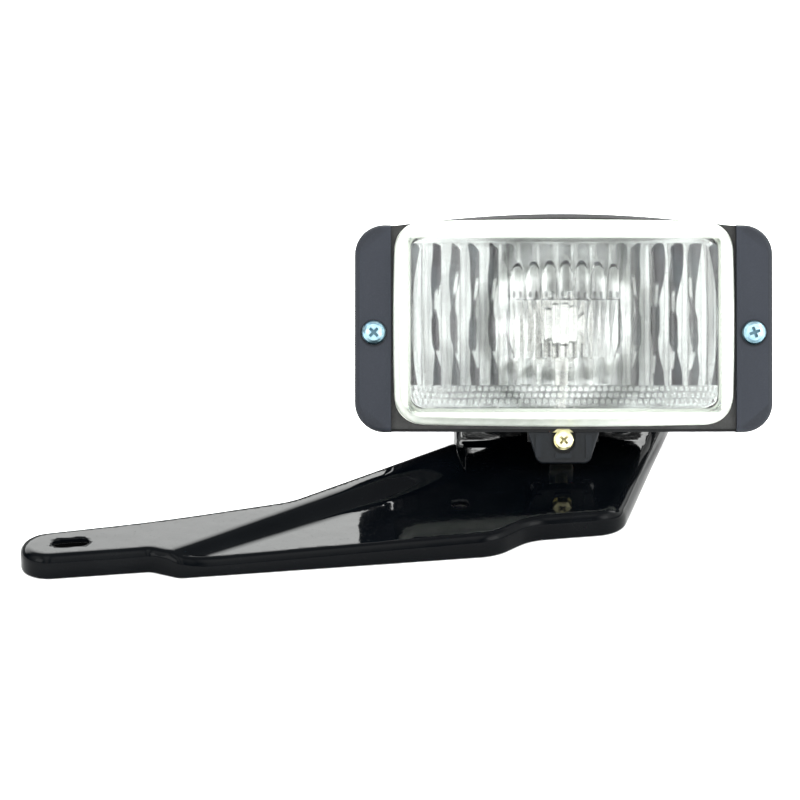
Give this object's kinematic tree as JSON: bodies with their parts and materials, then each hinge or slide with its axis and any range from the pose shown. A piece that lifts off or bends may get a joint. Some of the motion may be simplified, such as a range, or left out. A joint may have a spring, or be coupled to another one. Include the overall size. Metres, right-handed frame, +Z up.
{
  "type": "fog light",
  "caption": "Rectangular fog light with fluted glass lens and eared bezel, pivoting in a stay on a long pressed steel mounting arm, with an aiming screw in its foot.",
  "frame": {"origin": "middle of the object's plan box, on the surface that the arm's flange edges stand on", "axes": "+Z up, -Y the way the lens faces, +X along the arm towards the lamp"},
  "size_m": [0.273, 0.1578, 0.0972],
  "materials": {
    "arm_gloss_black": "gloss black stoved enamel on pressed steel",
    "stay_black": "semi-gloss black paint",
    "housing_gloss_black": "gloss black paint",
    "bezel_plastic": "matt blue-grey moulded plastic",
    "foot_plastic": "satin black moulded plastic",
    "lens_glass": "clear pressed glass with a faint green edge",
    "aluminised": "aluminised reflector",
    "zinc_blue": "bright blue-white zinc plate",
    "zinc_clear": "clear zinc plate",
    "zinc_yellow": "yellow chromate zinc plate",
    "white_nylon": "natural nylon",
    "black_rubber": "moulded rubber",
    "sealant_cream": "cured pale sealant, faintly green through the glass",
    "bulb_steel": "bright pressed steel",
    "bulb_quartz": "clear quartz",
    "tungsten": "drawn tungsten wire",
    "lead_insulation": "black cable insulation",
    "spring_steel": "bright spring wire"
  },
  "bodies": {
    "bracket": {"bracket_arm": "arm_gloss_black", "lamp_stay": "stay_black", "stay_bolts": "zinc_clear", "stay_nuts": "zinc_clear", "aim_nut": "white_nylon", "pivot_pins": "zinc_clear", "pivot_washers": "zinc_clear"},
    "lamp": {"housing": "housing_gloss_black", "housing_seal": "black_rubber", "pivot_bushes": "white_nylon", "cable_grommet": "black_rubber", "drain_plug": "black_rubber", "aim_foot": "foot_plastic", "foot_rivets": "zinc_clear", "reflector": "aluminised", "bulb_shield": "bulb_steel", "bulb_holder": "bulb_steel", "bulb_base": "bulb_steel", "bulb_glass": "bulb_quartz", "filament": "tungsten", "bulb_lead": "lead_insulation", "clip_pin": "bulb_steel", "bezel": "bezel_plastic", "lens": "lens_glass", "lens_sealant": "sealant_cream", "lens_gasket": "black_rubber", "ear_screws": "zinc_blue", "ear_nuts": "zinc_clear"},
    "aiming_screw": {"aim_screw": "zinc_yellow", "screw_retainer": "zinc_yellow"},
    "clip": {"bulb_clip": "spring_steel"}
  },
  "joints": [
    {"name": "lamp_tilt", "type": "hinge", "parent": "bracket", "child": "lamp", "pos_m": [0.059, 0.02377, 0.05438], "axis": [1, 0, 0], "range_deg": [-4.05, 4.05]},
    {"name": "aim_screw_turn", "type": "hinge", "parent": "lamp", "child": "aiming_screw", "pos_m": [0.059, -0.01175, 0.02317], "axis": [0, 0.9063, -0.4226], "range_deg": [-600, 600]},
    {"name": "bulb_clip_swing", "type": "hinge", "parent": "lamp", "child": "clip", "pos_m": [0.059, 0.04994, 0.02794], "axis": [-1, 0, 0], "range_deg": [0, 30]}
  ],
  "couplings": [
    {"joint": "lamp_tilt", "follows": "aim_screw_turn", "ratio": 0.0066161}
  ]
}
